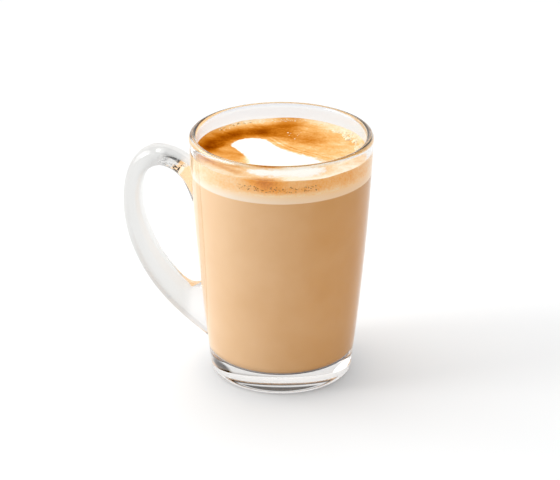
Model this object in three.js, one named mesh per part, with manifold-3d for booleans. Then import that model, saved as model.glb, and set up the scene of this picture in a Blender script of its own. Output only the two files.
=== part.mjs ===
// A milky coffee in its clear pressed-glass mug.
//
// Millimetres, +Z up. The origin is on the mug's axis, at the underside of its base,
// and the handle points along -X.
//
// The mug is one piece of glass: a tapered cup with a thick base, a rounded lip and a
// solid handle. The drink lies in it as four layers that touch the inner wall all round:
// coffee with milk, a band of pale milk foam, brown crema, and a poured shape of white
// milk that is let into the top of the crema.

import * as THREE from 'three';
import { mergeVertices } from 'three/addons/utils/BufferGeometryUtils.js';
import Module from 'manifold-3d';

// Cup, outside
const HEIGHT = 109.7;
const RIM_RADIUS = 39.5;
const WALL_TOP_RADIUS = 39.4;
const BASE_RADIUS = 30.7;
const WALL_BOW = 0.49; // share of the taper that follows the square of the way down
const LIP_HALF_WIDTH = 1.65;
const LIP_RISE = 2.1;
const WALL_TOP = HEIGHT - 5.2;
const HEEL_RADIUS = 2.6;

// Cup, inside
const WALL_AT_TOP = 3.0;
const WALL_AT_FLOOR = 3.7;
const FLOOR_HEIGHT = 8.8;
const CORNER_RADIUS = 5.0;

// Drink: levels of the layers, from the photo's bands at the side
const GAP = 0.3;
const COFFEE_TOP = 92.2;
const MILK_FOAM_TOP = 95.5;
const CREMA_EDGE = 102.0;
const CREMA_DIP = 0.5; // how far the middle lies below the edge
const MENISCUS_RISE = 0.7;
const MENISCUS_WIDTH = 2.0;

// Slow waves left in the foam by pouring: their height and the three waves that make them
const SWELL = 0.16;
const WAVE_X = { length: 7.5, shift: 0.6 };
const WAVE_Y = { length: 6.0, shift: -0.4 };
const WAVE_DIAGONAL = { length: 4.2, share: 0.6 };

// Poured milk, let into the crema
const ART_DEPTH = 1.7;
const ART_PROUD = 0.25;
const ART_BEVEL = 0.4;
const ART_MIDDLE = [-2, -9]; // a place well inside the outline

// Bubbles that stand along the wall at the back right
const BUBBLES = 18;
const BUBBLE_ARC = [15, 68]; // degrees round from +X
const BUBBLE_RADII = [0.6, 1.35];
const BUBBLE_SMALLNESS = 2; // 1 is an even mix of sizes, more gives more small ones
const BUBBLE_BAND = 3.6; // how far in from the wall they reach
const BUBBLE_CROWDING = 1.5; // 1 is an even spread over the band, more is nearer the wall
const BUBBLE_CLEARANCE = 0.15; // between a bubble and the side of the foam
const BUBBLE_LIFT = 0.1; // how high a bubble's middle floats, as a share of its radius
const BUBBLE_SEED = 41;

// How finely round shapes are divided
const ROUND = 72;
const HEEL_STEPS = 4;
const OUTER_WALL_STEPS = 8;
const LIP_STEPS = 8;
const INNER_WALL_STEPS = 7;
const CORNER_STEPS = 5;
const HANDLE_STEPS = 34;
const HANDLE_SIDES = 20;
const CREMA_RINGS = 13;
const ART_STEPS = 54;
const ART_BEVEL_STEPS = 2;

// Handle: places along it, from its top root to its lower root. Each has the outer and
// the inner edge as distance from the axis and height, and half the width across.
// Both roots end inside the wall of the cup.
const HANDLE_PLACES = [
  { outer: [37.4, 94.0], inner: [37.4, 73.5], half: 8.0 },
  { outer: [41.8, 96.4], inner: [41.0, 83.6], half: 7.3 },
  { outer: [48.3, 99.3], inner: [45.4, 89.1], half: 6.8 },
  { outer: [57.3, 99.8], inner: [52.1, 91.8], half: 6.5 },
  { outer: [64.6, 94.6], inner: [57.8, 89.5], half: 6.5 },
  { outer: [68.5, 86.0], inner: [61.1, 83.3], half: 6.5 },
  { outer: [69.8, 70.0], inner: [61.5, 71.0], half: 6.5 },
  { outer: [66.1, 52.2], inner: [56.6, 55.2], half: 6.5 },
  { outer: [56.9, 35.0], inner: [48.0, 42.0], half: 6.5 },
  { outer: [45.3, 22.3], inner: [40.6, 36.0], half: 6.5 },
  { outer: [30.9, 10.4], inner: [32.8, 38.0], half: 6.5 },
];
const HANDLE_SQUARENESS = 2.5; // 2 is an ellipse, more is closer to a rectangle

// Outline of the poured milk, seen from above
const ART_OUTLINE = [
  [-22.2, 2.0], [-21.4, 6.6], [-18.2, 10.8], [-13.4, 12.4], [-9.0, 11.4], [-5.0, 7.0],
  [0.6, 1.9], [6.0, -1.4], [12.6, -4.2], [19.4, -8.6], [22.0, -14.5], [21.2, -21.0],
  [16.6, -25.6], [8.0, -27.8], [-1.0, -28.6], [-7.4, -26.6], [-10.6, -21.0], [-11.2, -14.4],
  [-14.6, -7.8], [-19.0, -2.4],
];

const wasm = await Module();
wasm.setup();

function lerp(a, b, t) {
  return a + (b - a) * t;
}

// Radius of the outside of the cup at a height.
function outerRadius(z) {
  const down = 1 - Math.min(z, WALL_TOP) / WALL_TOP;
  const taper = (1 - WALL_BOW) * down + WALL_BOW * down * down;
  return lerp(WALL_TOP_RADIUS, BASE_RADIUS, taper);
}

// Radius of the inside of the cup at a height, above the rounded corner of its floor.
function innerRadius(z) {
  const up = (z - FLOOR_HEIGHT) / (WALL_TOP - FLOOR_HEIGHT);
  return outerRadius(z) - lerp(WALL_AT_FLOOR, WALL_AT_TOP, Math.min(up, 1));
}

// Points on an arc of an ellipse in the profile plane, angles in degrees.
function arc(centreR, centreZ, radiusR, radiusZ, from, to, steps) {
  const points = [];
  for (let i = 0; i <= steps; i += 1) {
    const angle = THREE.MathUtils.degToRad(lerp(from, to, i / steps));
    points.push([centreR + radiusR * Math.cos(angle), centreZ + radiusZ * Math.sin(angle)]);
  }
  return points;
}

// Points on a wall between two heights, both ends left out.
function wallPoints(radiusAt, from, to, steps) {
  const points = [];
  for (let i = 1; i < steps; i += 1) {
    const z = lerp(from, to, i / steps);
    points.push([radiusAt(z), z]);
  }
  return points;
}

function lathe(points) {
  const profile = points.map(([r, z]) => new THREE.Vector2(r, z));
  const geometry = new THREE.LatheGeometry(profile, ROUND);
  geometry.rotateX(Math.PI / 2);
  return geometry;
}

function toSolid(geometry) {
  const bare = geometry.clone();
  bare.deleteAttribute('normal');
  bare.deleteAttribute('uv');
  const merged = mergeVertices(bare, 1e-4);
  return new wasm.Manifold(new wasm.Mesh({
    numProp: 3,
    vertProperties: new Float32Array(merged.attributes.position.array),
    triVerts: new Uint32Array(merged.index.array),
  }));
}

function toGeometry(solid) {
  const mesh = solid.getMesh();
  const geometry = new THREE.BufferGeometry();
  geometry.setAttribute('position', new THREE.BufferAttribute(mesh.vertProperties, 3));
  geometry.setIndex(new THREE.BufferAttribute(mesh.triVerts, 1));
  geometry.computeVertexNormals();
  return geometry;
}

// Geometry from rings of points, joined ring to ring, with a middle point at each end.
function skin(rings, startMiddle, endMiddle) {
  const sides = rings[0].length;
  const positions = rings.flat(2).concat(startMiddle, endMiddle);
  const start = rings.length * sides;
  const end = start + 1;
  const last = start - sides;
  const index = [];
  for (let j = 0; j < sides; j += 1) {
    const k = (j + 1) % sides;
    index.push(start, k, j, end, last + j, last + k);
    for (let i = 0; i + 1 < rings.length; i += 1) {
      const a = i * sides;
      const b = a + sides;
      index.push(a + j, a + k, b + k, a + j, b + k, b + j);
    }
  }
  const geometry = new THREE.BufferGeometry();
  geometry.setAttribute('position', new THREE.Float32BufferAttribute(positions, 3));
  geometry.setIndex(index);
  return geometry;
}

// The cup as one turned profile: underside, heel, outer wall, lip, inner wall, floor.
function cupGeometry() {
  const heelR = outerRadius(HEEL_RADIUS) - HEEL_RADIUS;
  const lipR = RIM_RADIUS - LIP_HALF_WIDTH;
  const lipZ = HEIGHT - LIP_RISE;
  const cornerZ = FLOOR_HEIGHT + CORNER_RADIUS;
  const cornerR = innerRadius(cornerZ) - CORNER_RADIUS;
  return lathe([
    [0, 0],
    ...arc(heelR, HEEL_RADIUS, HEEL_RADIUS, HEEL_RADIUS, -90, 0, HEEL_STEPS),
    ...wallPoints(outerRadius, HEEL_RADIUS, WALL_TOP, OUTER_WALL_STEPS),
    [WALL_TOP_RADIUS, WALL_TOP],
    ...arc(lipR, lipZ, LIP_HALF_WIDTH, LIP_RISE, 0, 180, LIP_STEPS),
    [innerRadius(WALL_TOP), WALL_TOP],
    ...wallPoints(innerRadius, WALL_TOP, cornerZ, INNER_WALL_STEPS),
    ...arc(cornerR, cornerZ, CORNER_RADIUS, CORNER_RADIUS, 0, -90, CORNER_STEPS),
    [0, FLOOR_HEIGHT],
  ]);
}

// One edge of the handle as a smooth curve through its places.
function handleEdge(side) {
  return new THREE.CatmullRomCurve3(
    HANDLE_PLACES.map((place) => new THREE.Vector3(-place[side][0], 0, place[side][1])),
  );
}

function handleGeometry() {
  const outer = handleEdge('outer');
  const inner = handleEdge('inner');
  const widths = new THREE.SplineCurve(
    HANDLE_PLACES.map((place, i) => new THREE.Vector2(i, place.half)),
  );
  const power = 2 / HANDLE_SQUARENESS;
  const soften = (value) => Math.sign(value) * Math.abs(value) ** power;
  const rings = [];
  const middles = [];
  for (let i = 0; i <= HANDLE_STEPS; i += 1) {
    const t = i / HANDLE_STEPS;
    const outerPoint = outer.getPoint(t);
    const innerPoint = inner.getPoint(t);
    const half = widths.getPoint(t).y;
    const middle = outerPoint.clone().lerp(innerPoint, 0.5);
    const ring = [];
    for (let j = 0; j < HANDLE_SIDES; j += 1) {
      const angle = (2 * Math.PI * j) / HANDLE_SIDES;
      const point = middle.clone().lerp(outerPoint, soften(Math.cos(angle)));
      ring.push([point.x, half * soften(Math.sin(angle)), point.z]);
    }
    rings.push(ring);
    middles.push(middle.toArray());
  }
  return skin(rings, middles[0], middles.at(-1));
}

// Radius of the drink at a height: clear of the wall by the gap.
function drinkRadius(z) {
  return innerRadius(z) - GAP;
}

// A layer that fills the cup between two levels.
function layerGeometry(bottom, top) {
  return lathe([
    [0, bottom],
    [drinkRadius(bottom), bottom],
    [drinkRadius(top), top],
    [0, top],
  ]);
}

function coffeeGeometry() {
  const cornerZ = FLOOR_HEIGHT + CORNER_RADIUS;
  const radius = CORNER_RADIUS - GAP;
  return lathe([
    [0, FLOOR_HEIGHT + GAP],
    ...arc(drinkRadius(cornerZ) - radius, cornerZ, radius, radius, -90, 0, CORNER_STEPS),
    ...wallPoints(drinkRadius, cornerZ, COFFEE_TOP, INNER_WALL_STEPS),
    [drinkRadius(COFFEE_TOP), COFFEE_TOP],
    [0, COFFEE_TOP],
  ]);
}

// Height of the crema at a place: it dips to the middle, climbs a little at the wall
// and has slow waves left by pouring.
function cremaHeight(x, y) {
  const wall = drinkRadius(CREMA_EDGE);
  const r = Math.hypot(x, y);
  const dip = CREMA_DIP * (1 - (r / wall) ** 2);
  const climb = MENISCUS_RISE * Math.exp((r - wall) / MENISCUS_WIDTH);
  const across = Math.sin(x / WAVE_X.length + WAVE_X.shift);
  const along = Math.cos(y / WAVE_Y.length + WAVE_Y.shift);
  const diagonal = WAVE_DIAGONAL.share * Math.sin((x + y) / WAVE_DIAGONAL.length);
  return CREMA_EDGE - dip + climb + SWELL * (across * along + diagonal) * (r / wall);
}

// Deterministic numbers between 0 and 1.
function seededRandom(seed) {
  let state = seed;
  return () => {
    state = (state * 16807) % 2147483647;
    return state / 2147483647;
  };
}

function cremaSolid() {
  const bottom = MILK_FOAM_TOP + GAP;
  const ringAt = (radius, height) => Array.from({ length: ROUND }, (_, j) => {
    const angle = (2 * Math.PI * j) / ROUND;
    const x = radius * Math.cos(angle);
    const y = radius * Math.sin(angle);
    return [x, y, height ?? cremaHeight(x, y)];
  });
  const rings = [ringAt(drinkRadius(bottom), bottom)];
  for (let i = CREMA_RINGS; i > 0; i -= 1) {
    const share = Math.sin((Math.PI / 2) * (i / CREMA_RINGS)); // closer rings near the wall
    rings.push(ringAt(drinkRadius(CREMA_EDGE) * share));
  }
  let solid = toSolid(skin(rings, [0, 0, bottom], [0, 0, cremaHeight(0, 0)]));
  const random = seededRandom(BUBBLE_SEED);
  for (let i = 0; i < BUBBLES; i += 1) {
    const angle = THREE.MathUtils.degToRad(lerp(...BUBBLE_ARC, (i + random()) / BUBBLES));
    const size = lerp(...BUBBLE_RADII, random() ** BUBBLE_SMALLNESS);
    const inwards = BUBBLE_CLEARANCE + BUBBLE_BAND * random() ** BUBBLE_CROWDING;
    const r = drinkRadius(CREMA_EDGE) - size - inwards;
    const x = r * Math.cos(angle);
    const y = r * Math.sin(angle);
    const bubble = new THREE.IcosahedronGeometry(size, 1);
    bubble.translate(x, y, cremaHeight(x, y) + BUBBLE_LIFT * size);
    solid = solid.add(toSolid(bubble));
  }
  return solid;
}

// The poured milk as a slab, grown all round by a margin.
function artGeometry(margin, top, bottom, bevel) {
  const centre = new THREE.Vector2(...ART_MIDDLE);
  const curve = new THREE.CatmullRomCurve3(
    ART_OUTLINE.map(([x, y]) => new THREE.Vector3(x, y, 0)),
    true,
  );
  const outline = curve.getPoints(ART_STEPS).slice(0, -1).map((p) => new THREE.Vector2(p.x, p.y));
  const grown = outline.map((p, i) => {
    const before = outline.at(i - 1);
    const after = outline[(i + 1) % outline.length];
    const along = after.clone().sub(before).normalize();
    const away = new THREE.Vector2(along.y, -along.x);
    if (away.dot(p.clone().sub(centre)) < 0) {
      away.negate();
    }
    return p.clone().addScaledVector(away, margin - bevel);
  });
  const geometry = new THREE.ExtrudeGeometry(new THREE.Shape(grown), {
    depth: top - bottom - 2 * bevel,
    bevelEnabled: bevel > 0,
    bevelThickness: bevel,
    bevelSize: bevel,
    bevelSegments: ART_BEVEL_STEPS,
    steps: 1,
  });
  geometry.translate(0, 0, bottom + bevel);
  return geometry;
}

function materialFor(colour, roughness, extra = {}) {
  return new THREE.MeshStandardMaterial({ color: colour, roughness, metalness: 0, ...extra });
}

function meshFor(name, geometry, material) {
  const mesh = new THREE.Mesh(geometry, material);
  mesh.name = name;
  return mesh;
}

const artTop = CREMA_EDGE - CREMA_DIP + ART_PROUD;
const artBottom = artTop - ART_DEPTH;

const cavityRoom = toSolid(lathe([
  [0, FLOOR_HEIGHT],
  [innerRadius(FLOOR_HEIGHT), FLOOR_HEIGHT],
  ...wallPoints(innerRadius, FLOOR_HEIGHT, WALL_TOP, INNER_WALL_STEPS),
  [innerRadius(WALL_TOP), WALL_TOP],
  [0, WALL_TOP],
]));
const handle = toSolid(handleGeometry()).subtract(cavityRoom);
const mug = toSolid(cupGeometry()).add(handle);
const artPocket = toSolid(artGeometry(GAP, HEIGHT, artBottom - GAP, 0)); // open at the top
const crema = cremaSolid().subtract(artPocket);

const glass = materialFor('#e9ecec', 0.04, { transparent: true, opacity: 0.3 });
const milkFoam = layerGeometry(COFFEE_TOP + GAP, MILK_FOAM_TOP);
const milkArt = artGeometry(0, artTop, artBottom, ART_BEVEL);

const part = new THREE.Group();
part.add(meshFor('mug', toGeometry(mug), glass));
part.add(meshFor('coffee', coffeeGeometry(), materialFor('#d2a472', 0.35)));
part.add(meshFor('milk_foam', milkFoam, materialFor('#f0d9b8', 0.5)));
part.add(meshFor('crema', toGeometry(crema), materialFor('#d08a35', 0.45)));
part.add(meshFor('milk_art', milkArt, materialFor('#fffaf2', 0.4)));

export default part;
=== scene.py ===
# %% [markdown]
# # A milky coffee in a clear glass mug
#
# The solid model of the mug and its drink is loaded first and stays fixed. Everything made
# here is in metres and in the same frame: +Z is up, the origin is at the middle of the
# mug's underside and the handle points along -X.

# %% Load the fixed frame
import math

import bmesh
import bpy
import numpy as np
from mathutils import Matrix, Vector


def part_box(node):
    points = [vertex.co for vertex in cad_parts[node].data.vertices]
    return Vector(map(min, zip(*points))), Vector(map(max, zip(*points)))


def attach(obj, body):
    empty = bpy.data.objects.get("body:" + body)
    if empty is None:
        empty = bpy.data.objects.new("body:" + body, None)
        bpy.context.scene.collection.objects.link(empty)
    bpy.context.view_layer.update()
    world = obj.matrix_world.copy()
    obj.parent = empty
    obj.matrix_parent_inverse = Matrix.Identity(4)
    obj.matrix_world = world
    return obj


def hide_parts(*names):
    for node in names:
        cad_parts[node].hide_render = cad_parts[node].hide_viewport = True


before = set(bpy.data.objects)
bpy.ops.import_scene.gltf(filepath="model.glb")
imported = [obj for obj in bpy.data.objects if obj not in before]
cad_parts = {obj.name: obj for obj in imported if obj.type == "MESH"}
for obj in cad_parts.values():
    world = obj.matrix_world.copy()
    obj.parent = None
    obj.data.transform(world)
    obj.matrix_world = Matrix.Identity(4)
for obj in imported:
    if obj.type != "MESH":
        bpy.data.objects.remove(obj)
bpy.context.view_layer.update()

scene = bpy.context.scene

# %% [markdown]
# ## Units and small helpers
#
# Sizes are written in millimetres, as a maker would measure them, and turned into metres in
# one place. Colours are written as sRGB hex values. A shader needs linear light, so one
# function turns the first into the second.

# %% Helpers for sizes, colours and materials
MM = 0.001
SHARP_FROM = math.radians(32)


def linear(hex_colour, alpha=1.0):
    """A colour such as '#d2a472' as linear RGBA."""
    values = []
    for i in (1, 3, 5):
        c = int(hex_colour[i : i + 2], 16) / 255
        values.append(c / 12.92 if c <= 0.04045 else ((c + 0.055) / 1.055) ** 2.4)
    return (*values, alpha)


def add_node(tree, kind, settings=None, **inputs):
    """Adds a node. A setting is an attribute of it. An input is a value or a socket to link."""
    node = tree.nodes.new(kind)
    for key, value in (settings or {}).items():
        setattr(node, key, value)
    for key, value in inputs.items():
        socket = node.inputs[int(key[1:]) if key[1:].isdigit() else key.replace("_", " ")]
        if isinstance(value, bpy.types.NodeSocket):
            tree.links.new(value, socket)
        else:
            socket.default_value = value
    return node


def maths(tree, operation, a, b=0.0):
    return add_node(tree, "ShaderNodeMath", {"operation": operation}, _0=a, _1=b).outputs[0]


def new_material(name):
    """An empty material with its output node."""
    material = bpy.data.materials.new(name)
    material.use_nodes = True
    tree = material.node_tree
    tree.nodes.clear()
    output = tree.nodes.new("ShaderNodeOutputMaterial")
    return material, tree, output


def mesh_object(name, vertices, faces):
    """A mesh object at the origin, with its faces turned outwards."""
    mesh = bpy.data.meshes.new(name)
    mesh.from_pydata([tuple(v) for v in vertices], [], faces)
    work = bmesh.new()
    work.from_mesh(mesh)
    bmesh.ops.remove_doubles(work, verts=work.verts, dist=1e-7)
    bmesh.ops.recalc_face_normals(work, faces=work.faces)
    work.to_mesh(mesh)
    work.free()
    mesh.shade_smooth()
    mesh.set_sharp_from_angle(angle=SHARP_FROM)
    piece = bpy.data.objects.new(name, mesh)
    scene.collection.objects.link(piece)
    return piece


def lerp(a, b, t):
    return a + (b - a) * t


# %% [markdown]
# ## The camera
#
# The photo is a packshot with a long lens: the sides of the mug hardly converge. The camera
# stands one metre off, looks down by 23.8 degrees, and is turned 11 degrees round the mug,
# because the handle points a little away from the viewer.

# %% Camera
VIEW_DISTANCE = 1000 * MM
VIEW_DOWN = math.radians(23.8)
VIEW_TURN = math.radians(11)
VIEW_HEIGHT = 59.9 * MM
LENS_PIXELS = 2300.7
FRAME_PIXELS = 560
AXIS_OFFSET_PIXELS = 1.3
SENSOR = 36.0


def around(distance, turn, height):
    """A place at a distance from the mug's axis, turned round it from straight in front."""
    return (distance * math.sin(turn), -distance * math.cos(turn), height)


camera_data = bpy.data.cameras.new("camera")
camera_data.sensor_width = SENSOR
camera_data.lens = LENS_PIXELS / FRAME_PIXELS * SENSOR
camera_data.shift_x = -AXIS_OFFSET_PIXELS / FRAME_PIXELS
camera = bpy.data.objects.new("camera", camera_data)
camera.location = around(
    VIEW_DISTANCE * math.cos(VIEW_DOWN),
    VIEW_TURN,
    VIEW_HEIGHT + VIEW_DISTANCE * math.sin(VIEW_DOWN),
)
camera.rotation_euler = (math.pi / 2 - VIEW_DOWN, 0, VIEW_TURN)
scene.collection.objects.link(camera)
scene.camera = camera
print("lens in mm:", round(camera_data.lens, 1))

# %% [markdown]
# ## The glass mug
#
# A pressed glass mug is one piece: molten glass is pressed between an outer mould and a
# plunger, and the handle fills a channel in the same mould. The cup is a body of
# revolution, so it is turned from one closed profile: underside, rounded heel, tapered
# wall, fire-polished lip, inner wall and floor. The wall is 3 mm at the lip and thicker
# below, and the foot is a heavy slab of clear glass.

# %% Sizes of the cup
mug_high = np.array(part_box("mug")[1]) / MM
HEIGHT = mug_high[2]
RIM_RADIUS = mug_high[0]
WALL_TOP_RADIUS = RIM_RADIUS - 0.1
BASE_RADIUS = 30.7
WALL_BOW = 0.49
LIP_HALF_WIDTH = 1.65
LIP_RISE = 2.1
WALL_TOP = HEIGHT - 5.2
HEEL_RADIUS = 2.6
WALL_AT_TOP = 3.0
WALL_AT_FLOOR = 3.7
FLOOR_HEIGHT = 8.8
CORNER_RADIUS = 5.0
FOOT_RING_RADIUS = 24.0
PUSH_UP = 1.3
ROUND = 192


def outer_radius(z):
    """Radius of the outside of the cup at a height."""
    down = 1 - np.minimum(z, WALL_TOP) / WALL_TOP
    taper = (1 - WALL_BOW) * down + WALL_BOW * down * down
    return lerp(WALL_TOP_RADIUS, BASE_RADIUS, taper)


def inner_radius(z):
    """Radius of the inside of the cup at a height, above the corner of its floor."""
    up = np.minimum((z - FLOOR_HEIGHT) / (WALL_TOP - FLOOR_HEIGHT), 1)
    return outer_radius(z) - lerp(WALL_AT_FLOOR, WALL_AT_TOP, up)


def arc(centre_r, centre_z, radius_r, radius_z, start, end, steps):
    """Points on an arc of an ellipse in the profile plane, angles in degrees."""
    angles = np.radians(np.linspace(start, end, steps + 1))
    return [(centre_r + radius_r * math.cos(a), centre_z + radius_z * math.sin(a)) for a in angles]


def wall(radius_at, start, end, steps):
    """Points on a wall between two heights, both ends left out."""
    heights = np.linspace(start, end, steps + 1)[1:-1]
    return [(float(radius_at(z)), float(z)) for z in heights]


def turned(name, profile, steps=ROUND):
    """Turns a profile that starts and ends on the axis."""
    vertices, rings = [], []
    for r, z in profile:
        if r < 1e-6:
            rings.append([len(vertices)] * steps)
            vertices.append((0, 0, z * MM))
            continue
        rings.append(list(range(len(vertices), len(vertices) + steps)))
        for j in range(steps):
            angle = 2 * math.pi * j / steps
            vertices.append((r * MM * math.cos(angle), r * MM * math.sin(angle), z * MM))
    faces = []
    for lower, upper in zip(rings, rings[1:]):
        for j in range(steps):
            k = (j + 1) % steps
            face = [lower[j], lower[k], upper[k], upper[j]]
            faces.append(tuple(dict.fromkeys(face)))
    return mesh_object(name, vertices, faces)


# %% Turn the cup
def push_up(start, end, steps):
    """The hollow of the underside, which is raised a little inside the ring it stands on."""
    share = np.linspace(start, end, steps + 1)
    return [(FOOT_RING_RADIUS * s, PUSH_UP * (1 - s * s)) for s in share]


def cup_profile():
    lip_r, lip_z = RIM_RADIUS - LIP_HALF_WIDTH, HEIGHT - LIP_RISE
    corner_z = FLOOR_HEIGHT + CORNER_RADIUS
    corner_r = inner_radius(corner_z) - CORNER_RADIUS
    heel_r = outer_radius(HEEL_RADIUS) - HEEL_RADIUS
    return [
        *push_up(0, 1, 12),
        *arc(heel_r, HEEL_RADIUS, HEEL_RADIUS, HEEL_RADIUS, -90, 0, 12),
        *wall(outer_radius, HEEL_RADIUS, WALL_TOP, 40),
        (WALL_TOP_RADIUS, WALL_TOP),
        *arc(lip_r, lip_z, LIP_HALF_WIDTH, LIP_RISE, 0, 180, 24),
        (inner_radius(WALL_TOP), WALL_TOP),
        *wall(inner_radius, WALL_TOP, corner_z, 36),
        *arc(corner_r, corner_z, CORNER_RADIUS, CORNER_RADIUS, 0, -90, 12),
        (corner_r / 2, FLOOR_HEIGHT),
        (0, FLOOR_HEIGHT),
    ]


cup = turned("mug_glass", cup_profile())
print("cup vertices:", len(cup.data.vertices))

# %% [markdown]
# ## The handle
#
# The handle is a solid bar of glass, softly rectangular in section. It leaves the wall just
# under the lip, bows out for the fingers and comes back low down, where it runs out into a
# long web along the wall. It is lofted through a few places, each with its outer edge, its
# inner edge and half its width. It is a little wider where it leaves the wall.

# %% Loft the handle
HANDLE_PLACES = [  # outer edge, inner edge (distance from the axis, height), half width
    ((37.4, 94.0), (37.4, 73.5), 8.0),
    ((41.8, 96.4), (41.0, 83.6), 7.3),
    ((48.3, 99.3), (45.4, 89.1), 6.8),
    ((57.3, 99.8), (52.1, 91.8), 6.5),
    ((64.6, 94.6), (57.8, 89.5), 6.5),
    ((68.5, 86.0), (61.1, 83.3), 6.5),
    ((69.8, 70.0), (61.5, 71.0), 6.5),
    ((66.1, 52.2), (56.6, 55.2), 6.5),
    ((56.9, 35.0), (48.0, 42.0), 6.5),
    ((45.3, 22.3), (40.6, 36.0), 6.5),
    ((30.9, 10.4), (32.8, 38.0), 6.5),
]
HANDLE_STEPS, HANDLE_SIDES = 150, 56
HANDLE_SQUARENESS = 2.5


def smooth_path(points, steps):
    """A centripetal Catmull-Rom curve through points, with the same share of steps between them."""
    points = [np.array(p, float) for p in points]
    points = [2 * points[0] - points[1], *points, 2 * points[-1] - points[-2]]
    out = []
    for s in np.linspace(0, len(points) - 3, steps + 1):
        i = min(int(s), len(points) - 4)
        p = points[i : i + 4]
        knots = [0.0]
        for a, b in zip(p, p[1:]):
            knots.append(knots[-1] + np.linalg.norm(b - a) ** 0.5)
        t = lerp(knots[1], knots[2], s - i)
        for level in range(1, 4):
            p = [
                (p[j] * (knots[j + level] - t) + p[j + 1] * (t - knots[j])) / (knots[j + level] - knots[j])
                for j in range(4 - level)
            ]
        out.append(p[0])
    return np.array(out)


def loft_handle(name):
    outer = smooth_path([p[0] for p in HANDLE_PLACES], HANDLE_STEPS)
    inner = smooth_path([p[1] for p in HANDLE_PLACES], HANDLE_STEPS)
    half = smooth_path([(p[2], i) for i, p in enumerate(HANDLE_PLACES)], HANDLE_STEPS)[:, 0]
    angles = np.linspace(0, 2 * math.pi, HANDLE_SIDES, endpoint=False)
    power = 2 / HANDLE_SQUARENESS
    across = np.sign(np.cos(angles)) * np.abs(np.cos(angles)) ** power
    sideways = np.sign(np.sin(angles)) * np.abs(np.sin(angles)) ** power
    vertices = []
    for o, i, w in zip(outer, inner, half):
        middle = (o + i) / 2
        for a, b in zip(across, sideways):
            r, z = middle + (o - middle) * a
            vertices.append((-r * MM, w * b * MM, z * MM))
    faces = [tuple(range(HANDLE_SIDES))]
    for i in range(HANDLE_STEPS):
        for j in range(HANDLE_SIDES):
            a, b = i * HANDLE_SIDES + j, i * HANDLE_SIDES + (j + 1) % HANDLE_SIDES
            faces.append((a, b, b + HANDLE_SIDES, a + HANDLE_SIDES))
    faces.append(tuple(range(HANDLE_STEPS * HANDLE_SIDES, (HANDLE_STEPS + 1) * HANDLE_SIDES)))
    return mesh_object(name, vertices, faces)


# %% [markdown]
# ## One glass
#
# Cup and handle come out of one mould, so no surface may be left between them: light would
# bend at it. A union removes the part of the bar that lies inside the wall.

# %% Join cup and handle
def replace_with_evaluated(piece):
    """Puts what the modifiers make into the piece's own mesh, and removes them."""
    depsgraph = bpy.context.evaluated_depsgraph_get()
    mesh = bpy.data.meshes.new_from_object(piece.evaluated_get(depsgraph))
    piece.modifiers.clear()
    piece.data = mesh


def unite(piece, other):
    """Joins a second closed piece to the first and removes the second."""
    modifier = piece.modifiers.new("union", "BOOLEAN")
    modifier.operation = "UNION"
    modifier.solver = "MANIFOLD"
    modifier.object = other
    replace_with_evaluated(piece)
    bpy.data.objects.remove(other)


unite(cup, loft_handle("handle_bar"))
mug_glass = cup
mug_glass.data.shade_smooth()
mug_glass.data.set_sharp_from_angle(angle=SHARP_FROM)
print("mug faces:", len(mug_glass.data.polygons))

# %% [markdown]
# ## Clear glass
#
# Soda-lime glass, pressed and then fire polished: index 1.52, no roughness, and a faint
# waviness that is wide rather than fine. Light that only passes through on its way to
# the drink is let straight through, so that the drink is lit cleanly. The glass is a little
# tinted where light travels far in it: the wall hardly, the thick lip to a cool grey and the
# handle to a neutral grey. The shadow of the heavy foot is a little deeper than the wall's.

# %% Glass material
GLASS_INDEX = 1.52
WAVINESS_MM = 14.0
WAVINESS_DEPTH = 0.02 * MM
WALL_TINT, LIP_TINT, HANDLE_TINT = "#f2f1f0", "#d4dbe4", "#dfdedc"
FOOT_SHADE, WALL_SHADE = "#e4e4e4", "#f8f8f8"


def between(tree, value, start, end, at_start, at_end):
    """A colour that turns from one to another while a value runs from start to end."""
    share = add_node(tree, "ShaderNodeMapRange", Value=value, From_Min=start, From_Max=end)
    return add_node(
        tree, "ShaderNodeMix", {"data_type": "RGBA"}, _0=share.outputs[0], _6=at_start, _7=at_end
    ).outputs[2]


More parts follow.
